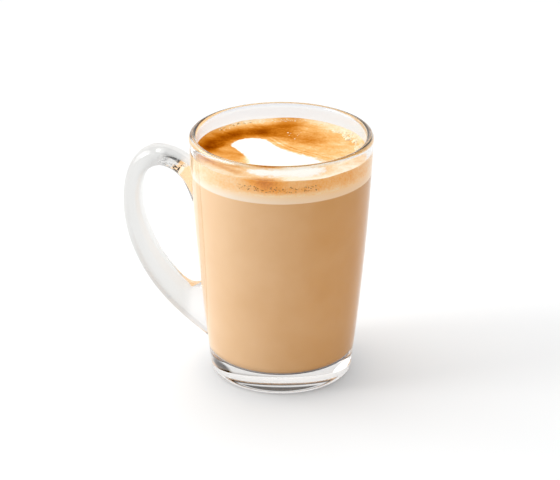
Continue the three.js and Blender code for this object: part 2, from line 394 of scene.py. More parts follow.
def fire_polished_glass():
    material, tree, output = new_material("soda_lime_glass_pressed")
    place = add_node(tree, "ShaderNodeTexCoord")
    height = add_node(tree, "ShaderNodeSeparateXYZ", Vector=place.outputs["Object"]).outputs["Z"]
    waves = add_node(
        tree, "ShaderNodeTexNoise", Vector=place.outputs["Object"], Scale=1 / (WAVINESS_MM * MM), Detail=1.0
    )
    bump = add_node(tree, "ShaderNodeBump", Height=waves.outputs[0], Strength=0.35, Distance=WAVINESS_DEPTH)
    from_axis = add_node(
        tree, "ShaderNodeVectorMath", {"operation": "MULTIPLY"}, _0=place.outputs["Object"], _1=(1, 1, 0)
    )
    distance = add_node(tree, "ShaderNodeVectorMath", {"operation": "LENGTH"}, _0=from_axis.outputs[0])
    cup_tint = between(
        tree, height, (HEIGHT - 1.5) * MM, (HEIGHT - 0.7) * MM, linear(WALL_TINT), linear(LIP_TINT)
    )
    tint = between(
        tree, distance.outputs["Value"], (RIM_RADIUS + 0.2) * MM, (RIM_RADIUS + 4) * MM,
        cup_tint, linear(HANDLE_TINT),
    )
    glass = add_node(
        tree, "ShaderNodeBsdfPrincipled", Base_Color=tint, Roughness=0.0,
        IOR=GLASS_INDEX, Transmission_Weight=1.0, Normal=bump.outputs[0],
    )
    shade = between(
        tree, height, (FLOOR_HEIGHT - 2) * MM, FLOOR_HEIGHT * MM, linear(FOOT_SHADE), linear(WALL_SHADE)
    )
    clear = add_node(tree, "ShaderNodeBsdfTransparent", Color=shade)
    rays = add_node(tree, "ShaderNodeLightPath")
    passing = maths(tree, "MAXIMUM", rays.outputs["Is Shadow Ray"], rays.outputs["Is Diffuse Ray"])
    mixed = add_node(
        tree, "ShaderNodeMixShader", _0=passing, _1=glass.outputs[0], _2=clear.outputs[0]
    )
    tree.links.new(mixed.outputs[0], output.inputs["Surface"])
    return material


mug_glass.data.materials.clear()
mug_glass.data.materials.append(fire_polished_glass())
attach(mug_glass, "root")
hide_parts("mug")

# %% [markdown]
# ## The drink
#
# The drink wets the glass, so nothing may show between them. Each layer therefore reaches
# a little way into the wall. From the bottom there are coffee with milk, a band of pale
# milk that has settled under the foam, and the brown foam of the coffee, the crema.

# %% Levels and the coffee
INTO_WALL = 0.35
GAP = 0.3
COFFEE_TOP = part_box("coffee")[1][2] / MM + GAP / 2
MILK_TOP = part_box("milk_foam")[1][2] / MM + GAP / 2
CREMA_EDGE = 102.0
CREMA_DIP = 0.5
MENISCUS_RISE = 0.7
MENISCUS_WIDTH = 2.0
SWELL = 0.16
WAVE_X, WAVE_Y, WAVE_DIAGONAL = 7.5, 6.0, 4.2


def wet_radius(z):
    """How far the drink reaches: just into the wall."""
    return inner_radius(z) + INTO_WALL


def coffee_profile():
    corner_z = FLOOR_HEIGHT + CORNER_RADIUS
    radius = CORNER_RADIUS + INTO_WALL
    return [
        (0, FLOOR_HEIGHT - INTO_WALL),
        *arc(wet_radius(corner_z) - radius, corner_z, radius, radius, -90, 0, 14),
        *wall(wet_radius, corner_z, COFFEE_TOP, 40),
        (float(wet_radius(COFFEE_TOP)), COFFEE_TOP),
        (0, COFFEE_TOP),
    ]


coffee = turned("milky_coffee_fill", coffee_profile())
milk_band_profile = [
    (0, COFFEE_TOP),
    (float(wet_radius(COFFEE_TOP)), COFFEE_TOP),
    (float(wet_radius(MILK_TOP)), MILK_TOP),
    (0, MILK_TOP),
]
milk_band = turned("pale_milk_band", milk_band_profile)
print("levels of the drink in mm:", FLOOR_HEIGHT, round(COFFEE_TOP, 2), round(MILK_TOP, 2), CREMA_EDGE)

# %% [markdown]
# ## The crema's surface
#
# Foam is stiff, so its top isn't quite level: it dips a little to the middle, keeps slow waves
# from the pour and climbs the glass by the meniscus of the liquid under it. One function
# gives that height anywhere, so that the poured milk can follow it too.

# %% Surface of the crema
TOP_RINGS = 150
SIDE_RINGS = 26


def crema_height(x, y):
    """The top of the foam dips to the middle, climbs at the wall and has slow waves."""
    edge = float(inner_radius(CREMA_EDGE))
    r = np.hypot(x, y)
    dip = CREMA_DIP * (1 - (r / edge) ** 2)
    climb = MENISCUS_RISE * np.exp((r - edge) / MENISCUS_WIDTH)
    wave = np.sin(x / WAVE_X + 0.6) * np.cos(y / WAVE_Y - 0.4) + 0.6 * np.sin((x + y) / WAVE_DIAGONAL)
    return CREMA_EDGE - dip + climb + SWELL * wave * r / edge


def make_crema(name):
    vertices = [(0, 0, MILK_TOP * MM)]
    rings = []
    angles = 2 * math.pi * np.arange(ROUND * 2) / (ROUND * 2)
    edge = float(wet_radius(CREMA_EDGE))
    top_of_side = crema_height(edge * np.cos(angles), edge * np.sin(angles))
    for i in range(SIDE_RINGS + 1):
        z = lerp(MILK_TOP, top_of_side, i / SIDE_RINGS)
        rings.append((wet_radius(z), z))
    for i in range(TOP_RINGS - 1, 0, -1):
        r = edge * math.sin(math.pi / 2 * i / TOP_RINGS)
        rings.append((r, crema_height(r * np.cos(angles), r * np.sin(angles))))
    for r, z in rings:
        x, y = r * np.cos(angles), r * np.sin(angles)
        vertices += list(zip(x * MM, y * MM, np.broadcast_to(z, x.shape) * MM))
    vertices.append((0, 0, float(crema_height(0, 0)) * MM))
    n, last = len(angles), len(vertices) - 1
    faces = []
    for j in range(n):
        k = (j + 1) % n
        faces += [(0, 1 + k, 1 + j), (last, last - n + j, last - n + k)]
        for i in range(len(rings) - 1):
            a = 1 + i * n
            faces.append((a + j, a + k, a + n + k, a + n + j))
    return mesh_object(name, vertices, faces)


crema = make_crema("crema_foam")
print("crema faces:", len(crema.data.polygons))

# %% [markdown]
# ## Where the drink meets the glass
#
# A liquid's index (1.34) is lower than that of glass (1.52). Seen from inside the glass, the
# boundary is therefore clear when it is looked at squarely and a perfect mirror when it is
# looked at at less than 28 degrees to the surface. That mirror is why the thick foot looks
# clear and white although brown coffee stands on it. A Fresnel node with the ratio of the
# two indices gives both.

# %% Mirror at the boundary of glass and liquid
LIQUID_INDEX = 1.34


def against_glass(tree, surface):
    """A surface as it shows through glass that touches it."""
    mirror = add_node(tree, "ShaderNodeBsdfGlossy", Color=(1, 1, 1, 1), Roughness=0.0)
    share = add_node(tree, "ShaderNodeFresnel", IOR=LIQUID_INDEX / GLASS_INDEX)
    return add_node(
        tree, "ShaderNodeMixShader", _0=share.outputs[0], _1=surface, _2=mirror.outputs[0]
    ).outputs[0]


def wear_slots(piece, node, slot, *materials):
    """Gives a piece its materials, hangs it on the root body and hides the model's solid that it stands
    for.
    """
    piece.data.materials.clear()
    for material in materials:
        piece.data.materials.append(material)
    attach(piece, "root")
    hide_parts(node)


# %% [markdown]
# ## Coffee with milk
#
# Milk makes coffee opaque: light goes in a little way, is scattered by fat and comes out
# again, so the colour is soft and has no shine of its own. Its colour is painted paler on
# the handle's side, which faces the lamps, and browner on the other: painted light. The slow
# clouds between are the drink's own uneven tone. Along the floor of the mug its colour is
# darkest, as painted shade. A diffuse surface between these near browns does that.

# %% Coffee material
CLOUD_MM = 22.0
CLOUD_SHARE = 0.35
PAINTED_LIGHT_REACH = 34.0


def lit_side_and_clouds(tree):
    """From 0 on the handle's side to 1 on the other: painted light, paler where the lamps fall, with slow
    clouds of the drink's own tone.
    """
    place = add_node(tree, "ShaderNodeTexCoord").outputs["Object"]
    clouds = add_node(
        tree, "ShaderNodeTexNoise", Vector=place, Scale=1 / (CLOUD_MM * MM), Detail=3.0, Roughness=0.6,
    )
    along = add_node(tree, "ShaderNodeSeparateXYZ", Vector=place).outputs["X"]
    across = add_node(
        tree, "ShaderNodeMapRange", Value=along,
        From_Min=-PAINTED_LIGHT_REACH * MM, From_Max=PAINTED_LIGHT_REACH * MM,
        To_Min=-CLOUD_SHARE / 2, To_Max=1 - CLOUD_SHARE / 2,
    )
    return add_node(
        tree, "ShaderNodeMath", {"operation": "MULTIPLY_ADD", "use_clamp": True},
        _0=clouds.outputs[0], _1=CLOUD_SHARE, _2=across.outputs[0],
    ).outputs[0]


def opaque_drink(name, pure, stain_and_shade, start, end):
    """A milky liquid behind glass that turns from a pure tone to a second one between two heights.

    Pure and second tone are each a pair of colours: near the handle, paler as painted light, and away from
    it.
    For the coffee the second tone is painted shade along the floor; for the milk it is the stain of the
    foam above.
    """
    material, tree, output = new_material(name)
    share = lit_side_and_clouds(tree)
    pure_colour, stain_and_shade_colour = (
        between(tree, share, 0.0, 1.0, linear(near_handle), linear(away))
        for near_handle, away in (pure, stain_and_shade)
    )
    place = add_node(tree, "ShaderNodeTexCoord").outputs["Object"]
    height = add_node(tree, "ShaderNodeSeparateXYZ", Vector=place).outputs["Z"]
    colour = between(tree, height, start * MM, end * MM, pure_colour, stain_and_shade_colour)
    body = add_node(tree, "ShaderNodeBsdfDiffuse", Color=colour)
    tree.links.new(against_glass(tree, body.outputs[0]), output.inputs["Surface"])
    return material


# Paler near the handle as painted light; the darker browns low down are painted shade along the floor.
milky_coffee = opaque_drink(
    "milky_coffee_stirred", ("#f8d1a4", "#cf8e3b"), ("#9a6436", "#7a4a20"),
    FLOOR_HEIGHT + 2.2, FLOOR_HEIGHT + 0.3,
)
wear_slots(coffee, "coffee", "milky_coffee", milky_coffee)

# %% [markdown]
# ## Pale milk
#
# Under the brown foam lies a band of milk that has hardly any coffee in it. Its lower edge
# is sharp, because the milk floats, and its upper edge fades into the foam.

# %% Pale milk material
# Paler near the handle as painted light; the upper tone is the stain of the foam above.
pale_milk = opaque_drink(
    "pale_milk_settled", ("#fbeedb", "#fbd0a0"), ("#ffe3c0", "#ffcd92"),
    COFFEE_TOP + 1.2, MILK_TOP,
)
wear_slots(milk_band, "milk_foam", "pale_milk", pale_milk)

# %% [markdown]
# ## Pattern of the crema
#
# The crema is coffee oil and foam. Where milk was poured it is thin and pale, and where it
# was pushed to the wall it is thick and dark. Its pattern is written as soft patches: each
# has a middle, a size and how much browner or paler it makes the foam. The poured milk is
# an outline, and each point of the surface gets its distance to that outline. Both are kept
# on the mesh as attributes, and the material adds the fine streaks.

# %% Soft patches and the outline of the poured milk
POUR_OUTLINE = [
    (-22.2, 2.0), (-21.4, 6.6), (-18.2, 10.8), (-13.4, 12.4), (-9.0, 11.4), (-5.0, 7.0),
    (0.6, 1.9), (6.0, -1.4), (12.6, -4.2), (19.4, -8.6), (22.0, -14.5), (21.2, -21.0),
    (16.6, -25.6), (8.0, -27.8), (-1.0, -28.6), (-7.4, -26.6), (-10.6, -21.0), (-11.2, -14.4),
    (-14.6, -7.8), (-19.0, -2.4),
]
BROWN_BASE = 0.30
BROWN_PATCHES = [  # middle, size along X and Y, change of brown
    ((22.0, 6.0), (13.0, 18.0), -0.04),
    ((-3.0, 29.0), (6.5, 8.0), 0.34),
    ((-5.0, 18.5), (6.0, 4.5), 0.22),
    ((4.0, 15.0), (7.0, 6.0), 0.20),
    ((12.0, 14.0), (5.0, 5.0), 0.16),
    ((21.0, 8.0), (5.0, 2.0), 0.12),
    ((11.0, 22.0), (4.0, 3.0), 0.08),
    ((2.6, 4.4), (3.4, 1.2), 0.14),
    ((-3.0, 8.6), (3.5, 0.9), -0.16),
    ((-23.0, -5.0), (8.0, 8.0), 0.15),
    ((-17.0, -12.0), (6.0, 5.0), 0.13),
    ((-25.5, -3.0), (3.0, 3.0), -0.12),
    ((-11.0, 26.0), (6.0, 3.5), 0.14),
    ((-14.0, 29.5), (2.5, 1.6), -0.12),
    ((18.0, 27.0), (6.0, 4.0), -0.12),
    ((0.0, -34.0), (6.0, 2.8), 0.40),
    ((-22.0, -28.0), (14.0, 9.0), -0.26),
    ((15.0, -30.0), (13.0, 7.0), -0.36),
    ((30.0, -17.0), (9.0, 14.0), -0.26),
    ((-11.5, -12.0), (2.5, 5.0), -0.26),
]
BROWN_PATHS = [  # places along it, half width, change of brown
    ([(-32.0, -4.0), (-30.0, 3.0), (-27.0, 10.0), (-21.0, 16.5), (-13.0, 19.5)], 5.6, 0.54),
    ([(-33.0, -11.0), (-24.0, -20.0), (-13.0, -27.0)], 1.8, 0.24),
]
WALL_FROTH = [  # turn from +X, its spread (degrees), change of brown close to the wall
    (165, 22, 0.02),
    (133, 14, -0.16),
    (112, 12, -0.22),
    (92, 7, 0.06),
    (72, 14, -0.20),
    (40, 22, -0.24),
]
WALL_FROTH_MM = 3.2
DRAG_LINES_MM, DRAG_BROWN, DRAG_REACH = 2.2, 0.09, 2.6
SIDE_BROWN = 0.20
SIDE_STAIN = (0.09, 0.23)  # brown over the pale milk, at the two ends of the next turns
SIDE_STAIN_TURN = (-60, 60)
SIDE_PATCHES = [  # turn, height over the pale milk, their spreads (degrees, mm), change of brown
    ((0, 6.4), (13, 2.8), 0.40),
    ((11, 2.6), (27, 1.9), 0.18),
    ((40, 6.0), (22, 3.0), 0.16),
    ((64, 4.0), (26, 6.0), 0.12),
    ((-55, 4.0), (30, 9.0), -0.08),
    ((-32, 4.0), (14, 6.0), 0.04),
]
SIDE_FADE_MM = 1.8
MENISCUS_EDGE_MM = 0.05
CRISP_EDGE_MM, BLED_EDGE_MM = 0.7, 2.4


def closed_curve(points, steps_each):
    """A smooth closed curve through points."""
    count = len(points)
    ring = [points[i % count] for i in range(-3, count + 4)]
    curve = smooth_path(ring, (len(ring) - 1) * steps_each)
    return curve[3 * steps_each : (3 + count) * steps_each]


def distance_to(x, y, points):
    """Distance in millimetres from places to a line through points."""
    nearest = np.full(x.shape, np.inf)
    for (ax, ay), (bx, by) in zip(points, points[1:]):
        length = (bx - ax) ** 2 + (by - ay) ** 2
        along = np.clip(((x - ax) * (bx - ax) + (y - ay) * (by - ay)) / length, 0, 1)
        nearest = np.minimum(nearest, np.hypot(x - lerp(ax, bx, along), y - lerp(ay, by, along)))
    return nearest


def reach_inside(x, y, outline):
    """Distance in millimetres to a closed outline, positive inside it."""
    closed = [*outline, outline[0]]
    inside = np.zeros(x.shape, bool)
    for (ax, ay), (bx, by) in zip(closed, closed[1:]):
        if ay != by:
            inside ^= ((ay > y) != (by > y)) & (x < (bx - ax) * (y - ay) / (by - ay) + ax)
    nearest = distance_to(x, y, closed)
    return np.where(inside, nearest, -nearest)


def bell(distance, width):
    return np.exp(-((distance / width) ** 2))


def brownness(x, y, reach):
    """How brown the foam is, from 0 for cream to 1 for the darkest crescent."""
    value = np.full(x.shape, BROWN_BASE)
    for (mx, my), (sx, sy), change in BROWN_PATCHES:
        value += change * bell(x - mx, sx) * bell(y - my, sy)
    for places, width, change in BROWN_PATHS:
        value += change * bell(distance_to(x, y, places), width)
    turn = np.degrees(np.arctan2(y, x))
    near_wall = bell(np.hypot(x, y) - inner_radius(CREMA_EDGE), WALL_FROTH_MM)
    for middle, spread, change in WALL_FROTH:
        value += change * bell(turn - middle, spread) * near_wall
    behind_the_milk = np.clip((y + 6) / 4, 0, 1) * np.clip((x + 10) / 3, 0, 1)
    lines = np.sin(2 * math.pi * reach / DRAG_LINES_MM)
    return value + DRAG_BROWN * behind_the_milk * lines * bell(reach + DRAG_REACH, DRAG_REACH)


def edge_softness(x, y):
    """The milk has a crisp edge at the back left and has bled into the foam on the other sides."""
    return lerp(CRISP_EDGE_MM, BLED_EDGE_MM, np.clip((x + 6 - y) / 26, 0, 1))


def side_brownness(x, y, z):
    """The same for the side behind the glass, where the foam fades into the pale milk."""
    turn = np.degrees(np.arctan2(x, -y))
    value = np.full(x.shape, SIDE_BROWN)
    for (middle, height), (spread, high), change in SIDE_PATCHES:
        value += change * bell(turn - middle, spread) * bell(z - MILK_TOP - height, high)
    up = np.clip((z - MILK_TOP) / SIDE_FADE_MM, 0, 1)
    start, end = SIDE_STAIN_TURN
    stain = lerp(*SIDE_STAIN, np.clip((turn - start) / (end - start), 0, 1))
    return lerp(stain, value, up * up * (3 - 2 * up))


pour_outline = closed_curve(POUR_OUTLINE, 6)


def paint(piece):
    """Writes the two fields of the pattern on a mesh's points."""
    places = np.empty(len(piece.data.vertices) * 3)
    piece.data.vertices.foreach_get("co", places)
    x, y, z = places.reshape(-1, 3).T / MM
    on_side = np.hypot(x, y) > inner_radius(z) + INTO_WALL / 2
    on_side &= z < crema_height(x, y) - MENISCUS_EDGE_MM
    reach = reach_inside(x, y, pour_outline)
    brown = np.where(on_side, side_brownness(x, y, z), brownness(x, y, reach))
    for name, values in (("brown", brown), ("milk_reach", reach / edge_softness(x, y))):
        layer = piece.data.attributes.new(name, "FLOAT", "POINT")
        layer.data.foreach_set("value", values.astype(np.float32))


paint(crema)

# %% [markdown]
# ## Crema and milk as one finish
#
# Both are foam and only their colour differs, so one set of nodes makes it: a ramp from
# cream to dark brown, streaks where the foam was dragged, and white where the milk lies.
# The edge of the milk is crisp at the back and ragged where it has bled into the foam.
# Seen from above the foam is matt, with the fine dimples of its bubbles. Behind the glass it
# wets the wall and gets less light, so it has a brighter ramp and the mirror of the boundary.

# %% Colour nodes of the foam
STREAK_MM = 7.0
MOTTLE_MM = 2.4
GRAIN_MM = 0.9
BLEED_MM = 2.2
STREAK_TURN = 0.35
FOAM_RAMP = [
    (0.00, "#fff0d6"), (0.15, "#fad4a0"), (0.30, "#f0b56c"), (0.45, "#de9646"),
    (0.60, "#c8761c"), (0.75, "#ac5a06"), (0.90, "#8c3f00"), (1.00, "#742f00"),
]
SIDE_RAMP = [
    (0.00, "#fff0dc"), (0.15, "#ffd9a8"), (0.30, "#ffc27a"), (0.45, "#f9a43a"),
    (0.60, "#e08420"), (1.00, "#8c3f00"),
]
FOAM_SWINGS = (0.08, 0.08, 0.06)  # of the streaks, the mottle and the grain
SIDE_SWINGS = (0.05, 0.03, 0.06)
MILK_WHITE = "#fcf8ef"


def centred_noise(tree, place, size_mm, swing, **settings):
    """A noise of a real size, as a number from minus to plus its swing."""
    noise = add_node(tree, "ShaderNodeTexNoise", Vector=place, Scale=1 / (size_mm * MM), **settings)
    return add_node(
        tree, "ShaderNodeMapRange", Value=noise.outputs[0],
        From_Min=0.3, From_Max=0.7, To_Min=-swing, To_Max=swing,
    ).outputs[0]


def added(tree, *values):
    """The sum of numbers."""
    total = values[0]
    for value in values[1:]:
        total = maths(tree, "ADD", total, value)
    return total


def foam_colour(tree, tones, streak_swing, mottle_swing, grain_swing):
    """Tones of brown by the pattern on the mesh and three noises, and white where milk lies."""
    place = add_node(tree, "ShaderNodeTexCoord").outputs["Object"]
    brown = add_node(tree, "ShaderNodeAttribute", {"attribute_name": "brown"}).outputs["Fac"]
    reach = add_node(tree, "ShaderNodeAttribute", {"attribute_name": "milk_reach"}).outputs["Fac"]
    dragged = add_node(
        tree, "ShaderNodeMapping", Vector=place, Scale=(0.6, 1.0, 1.0), Rotation=(0, 0, STREAK_TURN)
    ).outputs[0]
    streaks = centred_noise(
        tree, dragged, STREAK_MM, streak_swing, Detail=6.0, Roughness=0.6, Distortion=0.9
    )
    mottle = centred_noise(
        tree, dragged, MOTTLE_MM, mottle_swing, Detail=5.0, Roughness=0.65, Distortion=0.5
    )
    grain = centred_noise(tree, place, GRAIN_MM, grain_swing, Detail=2.0, Roughness=0.7)
    ramp = add_node(tree, "ShaderNodeValToRGB", Fac=added(tree, brown, streaks, mottle, grain))
    stops = ramp.color_ramp.elements
    stops[0].position, stops[0].color = tones[0][0], linear(tones[0][1])
    stops[1].position, stops[1].color = tones[-1][0], linear(tones[-1][1])
    for position, colour in tones[1:-1]:
        stops.new(position).color = linear(colour)
    bleed = centred_noise(tree, place, BLEED_MM, 0.6, Detail=4.0, Roughness=0.6)
    milk = add_node(
        tree, "ShaderNodeMapRange", {"interpolation_type": "SMOOTHSTEP"}, Value=added(tree, reach, bleed),
        From_Min=-0.6, From_Max=0.7,
    )
    return add_node(
        tree, "ShaderNodeMix", {"data_type": "RGBA"}, _0=milk.outputs[0],
        _6=ramp.outputs[0], _7=linear(MILK_WHITE),
    ).outputs[2]


# %% Foam seen from above and foam behind the glass
FROTH_MM = 0.7
FROTH_DEPTH = 0.2 * MM


def open_foam(name):
    material, tree, output = new_material(name)
    place = add_node(tree, "ShaderNodeTexCoord").outputs["Object"]
    bubbles = add_node(tree, "ShaderNodeTexVoronoi", Vector=place, Scale=1 / (FROTH_MM * MM))
    bump = add_node(
        tree, "ShaderNodeBump", Height=bubbles.outputs["Distance"], Strength=0.12, Distance=FROTH_DEPTH
    )
    body = add_node(
        tree, "ShaderNodeBsdfPrincipled", Base_Color=foam_colour(tree, FOAM_RAMP, *FOAM_SWINGS),
        Roughness=0.4, IOR=LIQUID_INDEX, Specular_IOR_Level=0.0, Normal=bump.outputs[0],
    )
    tree.links.new(body.outputs[0], output.inputs["Surface"])
    return material


def foam_behind_glass(name):
    material, tree, output = new_material(name)
    body = add_node(tree, "ShaderNodeBsdfDiffuse", Color=foam_colour(tree, SIDE_RAMP, *SIDE_SWINGS))
    tree.links.new(against_glass(tree, body.outputs[0]), output.inputs["Surface"])
    return material


crema_materials = [open_foam("crema_foam_open"), foam_behind_glass("crema_foam_behind_glass")]
wear_slots(crema, "crema", "coffee_crema", *crema_materials)
SIDE_FROM = float(inner_radius(CREMA_EDGE)) - 0.2
STEEP_BELOW = 0.6
for polygon in crema.data.polygons:
    far_out = math.hypot(polygon.center.x, polygon.center.y) / MM > SIDE_FROM
    polygon.material_index = int(far_out and abs(polygon.normal.z) < STEEP_BELOW)

# %% [markdown]
# ## The poured milk
#
# The poured milk stands a quarter of a millimetre above the crema and sinks into it at its
# edge. It is a grid of rings that shrink from the outline to its middle. Its finish is the
# foam's own, which is white wherever the outline says that milk lies.

# %% Poured milk
POUR_PROUD = 0.28
POUR_RINGS = 26
POUR_MIDDLE = (-2.0, -9.0)
POUR_SOFTNESS = 2.2
POUR_SUNK = 0.05
POUR_DEPTH = 1.6


def make_pour(name):
    outline = np.array(closed_curve(POUR_OUTLINE, 14))
    middle = np.array(POUR_MIDDLE)
    count = len(outline)
    vertices, faces = [], []
    for i in range(POUR_RINGS):
        share = 1 - i / POUR_RINGS
        ring = middle + (outline - middle) * share
        depth = reach_inside(ring[:, 0], ring[:, 1], outline)
        lift = POUR_PROUD * (1 - np.exp(-np.maximum(depth, 0) / POUR_SOFTNESS))
        if i == 0:
            lift = lift - POUR_SUNK
        z = crema_height(ring[:, 0], ring[:, 1]) + lift
        vertices += list(zip(ring[:, 0] * MM, ring[:, 1] * MM, z * MM))
    top = len(vertices)
    vertices.append((middle[0] * MM, middle[1] * MM, float(crema_height(*middle) + POUR_PROUD) * MM))
    bottom_z = (CREMA_EDGE - POUR_DEPTH) * MM
    under = len(vertices)
    vertices += [(x * MM, y * MM, bottom_z) for x, y in outline]
    below = len(vertices)
    vertices.append((middle[0] * MM, middle[1] * MM, bottom_z))
    for j in range(count):
        k = (j + 1) % count
        for i in range(POUR_RINGS - 1):
            a = i * count
            faces.append((a + j, a + k, a + count + k, a + count + j))
        last = (POUR_RINGS - 1) * count
        faces.append((last + j, last + k, top))
        faces.append((under + j, under + k, k, j))
        faces.append((under + k, under + j, below))
    return mesh_object(name, vertices, faces)


pour = make_pour("poured_milk")
paint(pour)
wear_slots(pour, "milk_art", "white_milk", open_foam("steamed_milk_poured"))
print("poured milk faces:", len(pour.data.polygons))

# %% [markdown]
# ## Bubbles and pores
#
# Large bubbles gather at the wall, where the last milk pushed them, and a few float alone.
# Behind the glass some pores of the foam are open and look like dark dots. Both are many
# small copies on a surface, which is what Geometry Nodes are for: points are thrown at
# random into a band, a ray drops each one onto the foam, and a small ball is put there.

# %% A tree that scatters balls on a surface
SCATTER_INPUTS = [
    ("Surface", "NodeSocketObject"), ("Ball", "NodeSocketMaterial"),
    ("Count", "NodeSocketInt"), ("Seed", "NodeSocketInt"),
    ("Turn Start", "NodeSocketFloat"), ("Turn End", "NodeSocketFloat"),
    ("Reach Low", "NodeSocketFloat"), ("Reach High", "NodeSocketFloat"),
    ("Smallest", "NodeSocketFloat"), ("Largest", "NodeSocketFloat"), ("Sink", "NodeSocketFloat"),
]
SMALL_MORE_OFTEN = 2.2
RAYS_FROM_AXIS = 0.1
RAYS_FROM_ABOVE = 0.2
RAY_LENGTH = 0.3


def random_between(tree, low, high, seed):
    return add_node(
        tree, "FunctionNodeRandomValue", {"data_type": "FLOAT"}, _2=low, _3=high, _8=seed
    ).outputs[1]


def scaled(tree, vector, factor):
    return add_node(
        tree, "ShaderNodeVectorMath", {"operation": "SCALE"}, _0=vector, Scale=factor
    ).outputs[0]


def scatter_tree(name, from_side):
    """Rays go down from above, or from the side towards the axis, and leave a ball where they hit."""
    tree = bpy.data.node_groups.new(name, "GeometryNodeTree")
    tree.interface.new_socket("Geometry", in_out="OUTPUT", socket_type="NodeSocketGeometry")
    for label, kind in SCATTER_INPUTS:
        tree.interface.new_socket(label, in_out="INPUT", socket_type=kind)
    given = tree.nodes.new("NodeGroupInput").outputs
    target = add_node(tree, "GeometryNodeObjectInfo", Object=given["Surface"]).outputs["Geometry"]
    turn = random_between(tree, given["Turn Start"], given["Turn End"], given["Seed"])
    reach_seed = maths(tree, "ADD", given["Seed"], 7.0)
    reach = random_between(tree, given["Reach Low"], given["Reach High"], reach_seed)
    size_seed = maths(tree, "ADD", given["Seed"], 13.0)
    share = maths(tree, "POWER", random_between(tree, 0.0, 1.0, size_seed), SMALL_MORE_OFTEN)
    size = add_node(
        tree, "ShaderNodeMapRange", Value=share, To_Min=given["Smallest"], To_Max=given["Largest"]
    ).outputs[0]
    sine = maths(tree, "SINE", turn)
    cosine = maths(tree, "COSINE", turn)
    outwards = add_node(tree, "ShaderNodeCombineXYZ", X=cosine, Y=sine).outputs[0]
    if from_side:
        far = scaled(tree, outwards, RAYS_FROM_AXIS)
        up = add_node(tree, "ShaderNodeCombineXYZ", Z=reach).outputs[0]
        towards = scaled(tree, outwards, -1.0)
    else:
        far = scaled(tree, outwards, reach)
        up = (0.0, 0.0, RAYS_FROM_ABOVE)
        towards = (0.0, 0.0, -1.0)
    start = add_node(tree, "ShaderNodeVectorMath", _0=far, _1=up).outputs[0]
    points = add_node(tree, "GeometryNodePoints", Count=given["Count"])
    hit = add_node(
        tree, "GeometryNodeRaycast", Target_Geometry=target, Source_Position=start,
        Ray_Direction=towards, Ray_Length=RAY_LENGTH,
    )
    shift = scaled(tree, hit.outputs["Hit Normal"], maths(tree, "MULTIPLY", size, given["Sink"]))
    place = add_node(
        tree, "ShaderNodeVectorMath", {"operation": "SUBTRACT"}, _0=hit.outputs["Hit Position"], _1=shift
    ).outputs[0]
    placed = add_node(
        tree, "GeometryNodeSetPosition", Geometry=points.outputs[0],
        Selection=hit.outputs["Is Hit"], Position=place,
    )
    ball = add_node(tree, "GeometryNodeMeshIcoSphere", Radius=1.0, Subdivisions=3)
    smooth = add_node(tree, "GeometryNodeSetShadeSmooth", Geometry=ball.outputs[0])
    copies = add_node(
        tree, "GeometryNodeInstanceOnPoints",
        Points=placed.outputs[0], Instance=smooth.outputs[0], Scale=size,
    )
    real = add_node(tree, "GeometryNodeRealizeInstances", Geometry=copies.outputs[0])
    dressed = add_node(tree, "GeometryNodeSetMaterial", Geometry=real.outputs[0], Material=given["Ball"])
    result = tree.nodes.new("NodeGroupOutput")
    tree.links.new(dressed.outputs[0], result.inputs[0])
    return tree


def scatter(name, tree, material, count, seed, turns, reach, radii, sink):
    """Runs the tree for a new piece and keeps its result as a plain mesh.

    Turns are degrees from +X. Reach and radii are millimetres. Sink is a share of a radius.
    """
    values = {
        "Surface": crema, "Ball": material, "Count": count, "Seed": seed, "Sink": sink,
        "Turn Start": math.radians(turns[0]), "Turn End": math.radians(turns[1]),
        "Reach Low": reach[0] * MM, "Reach High": reach[1] * MM,
        "Smallest": radii[0] * MM, "Largest": radii[1] * MM,
    }
    piece = bpy.data.objects.new(name, bpy.data.meshes.new(name))
    scene.collection.objects.link(piece)
    modifier = piece.modifiers.new("scatter", "NODES")
    modifier.node_group = tree
    for item in tree.interface.items_tree:
        if item.item_type == "SOCKET" and item.in_out == "INPUT" and item.name in values:
            modifier[item.identifier] = values[item.name]
    replace_with_evaluated(piece)
    print(name, "faces:", len(piece.data.polygons))
    return piece


# %% [markdown]
# ## What a bubble is made of
#
# A bubble is a film of milky coffee. Seen squarely some of the foam shows through it, and
# towards its edge the film is crossed at a slant and looks cream. The large bubbles at the
# wall have the thinnest film. An open pore is a small brown shadow.

# %% Materials of bubbles and pores
def milky_film(name, least):
    """A film whose cover grows from the least, seen squarely, to all of it at its edge."""
    material, tree, output = new_material(name)
    place = add_node(tree, "ShaderNodeTexCoord").outputs["Object"]
    mottle = add_node(tree, "ShaderNodeTexNoise", Vector=place, Scale=1 / (1.5 * MM))
    colour = add_node(
        tree, "ShaderNodeMix", {"data_type": "RGBA"}, _0=mottle.outputs[0],
        _6=linear("#ffe2aa"), _7=linear("#fff8e4"),
    )
    film = add_node(
        tree, "ShaderNodeBsdfPrincipled", Base_Color=colour.outputs[2], Roughness=0.3, IOR=LIQUID_INDEX,
        Specular_IOR_Level=0.04,
    )
    clear = add_node(tree, "ShaderNodeBsdfTransparent", Color=linear("#fffaf0"))
    slant = add_node(tree, "ShaderNodeLayerWeight", Blend=0.45)
    thickness = add_node(
        tree, "ShaderNodeMapRange", Value=slant.outputs["Facing"], From_Min=0.0, From_Max=0.5, To_Min=least
    )
    mixed = add_node(
        tree, "ShaderNodeMixShader", _0=thickness.outputs[0], _1=clear.outputs[0], _2=film.outputs[0]
    )
    tree.links.new(mixed.outputs[0], output.inputs["Surface"])
    return material


